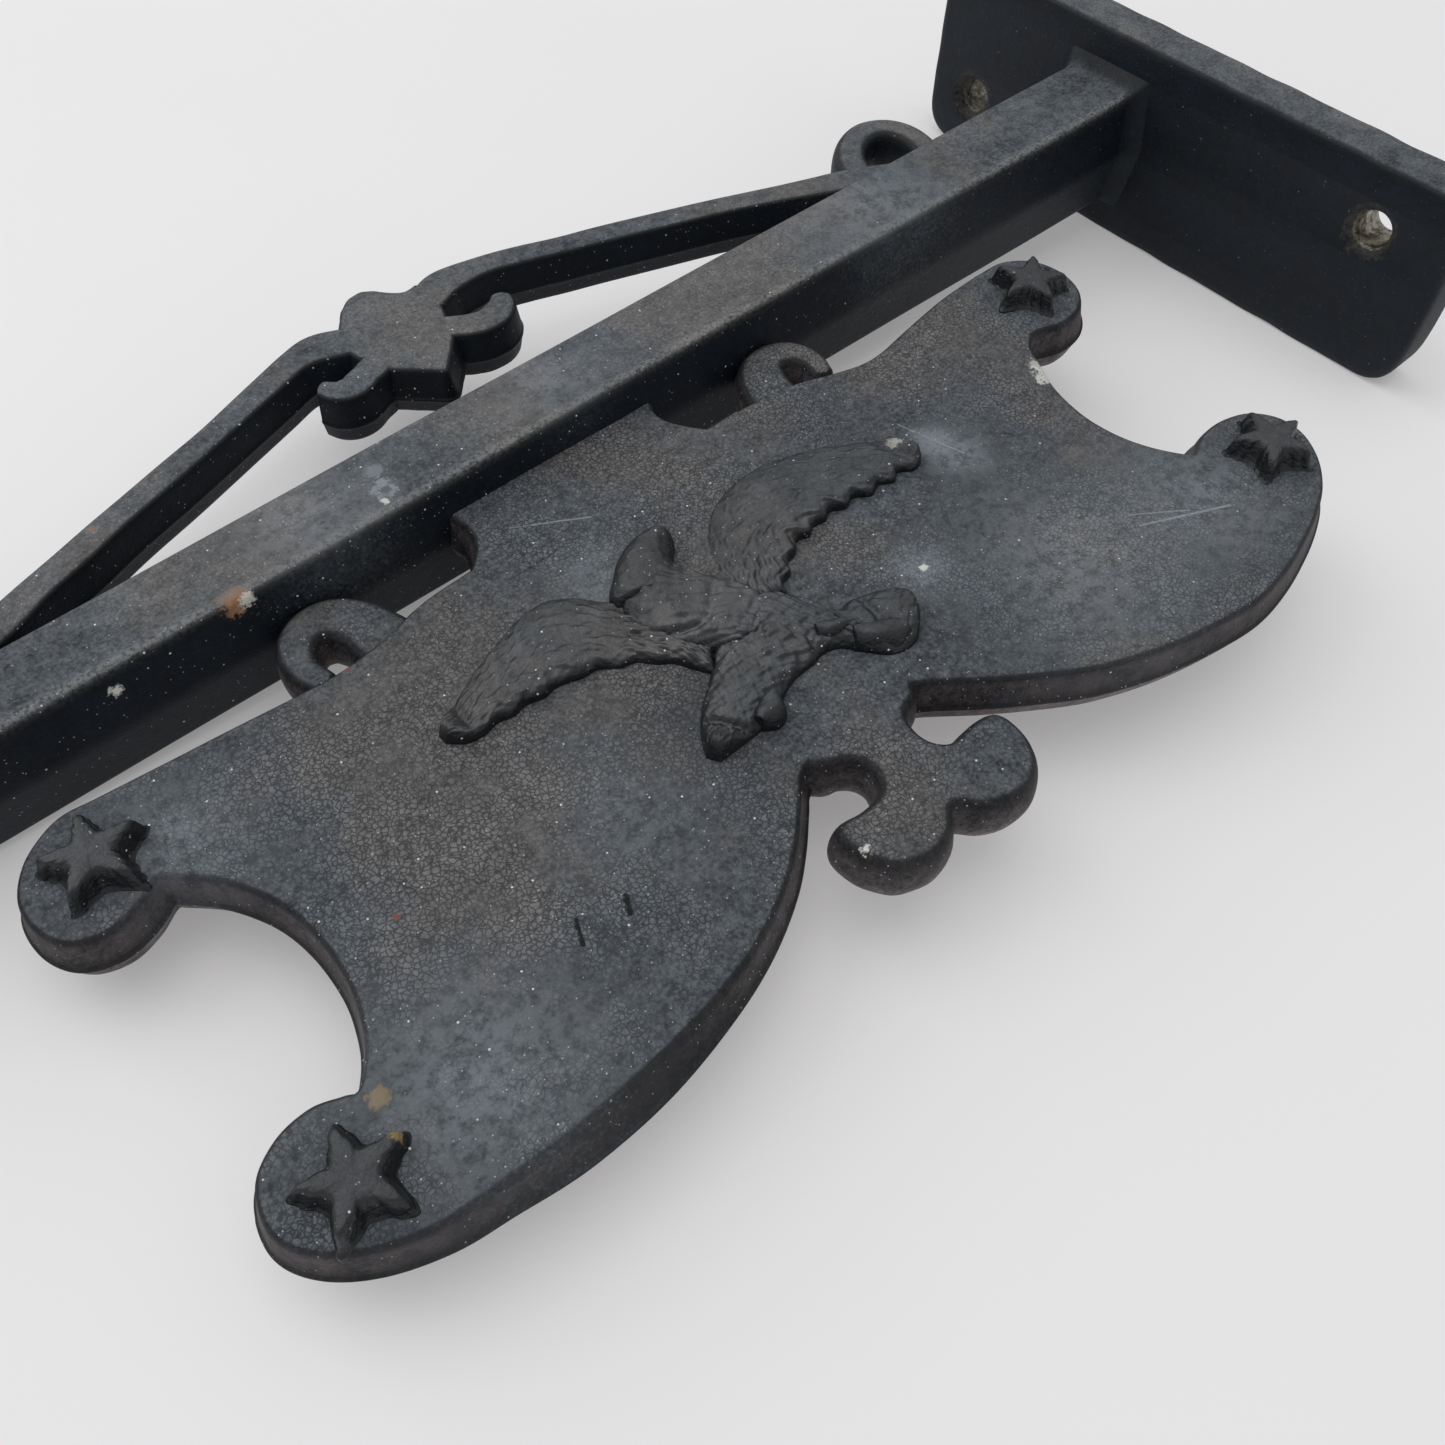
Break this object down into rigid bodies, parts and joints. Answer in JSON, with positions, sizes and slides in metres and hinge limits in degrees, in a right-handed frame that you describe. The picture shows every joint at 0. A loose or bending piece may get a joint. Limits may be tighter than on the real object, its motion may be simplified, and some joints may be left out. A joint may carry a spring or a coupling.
{
  "type": "cast wall bracket with tavern sign",
  "caption": "Cast wall bracket with a rectangular screw plate, a straight tapered arm, a scrolled brace and a scalloped hanging sign carrying stars and a spread-winged bird in relief.",
  "frame": {"origin": "back face of the wall plate, on the arm's axis and the casting's parting plane", "axes": "+X points at the wall, so the arm runs to -X; +Y is up when the bracket is on a wall, towards the brace; +Z comes out of the sign's relief face, which faces up as the object lies"},
  "size_m": [0.228, 0.1134, 0.0304],
  "materials": {
    "body_paint": "matt black paint over sand-cast iron, chalky on the flats",
    "sign_paint": "matt black paint over pebbled sand-cast iron, cloudy grey bloom",
    "relief_paint": "black paint, slightly glossier on the raised edges"
  },
  "bodies": {
    "root": {"wall_plate": "body_paint", "arm": "body_paint", "arm_root": "body_paint", "brace_centre": "body_paint", "hook_wall_side": "body_paint", "hook_free_side": "body_paint", "strap_wall_side": "body_paint", "strap_free_side": "body_paint", "curl_wall_side": "body_paint", "curl_free_side": "body_paint", "sign_panel": "sign_paint", "panel_web": "sign_paint", "hanger_wall_side": "sign_paint", "hanger_free_side": "sign_paint", "bottom_drop": "sign_paint", "star_top_wall_side": "relief_paint", "star_top_free_side": "relief_paint", "star_low_wall_side": "relief_paint", "star_low_free_side": "relief_paint", "bird_body": "relief_paint", "bird_head": "relief_paint", "wing_wall_side": "relief_paint", "wing_free_side": "relief_paint", "leg_wall_side": "relief_paint", "leg_free_side": "relief_paint"}
  },
  "joints": []
}
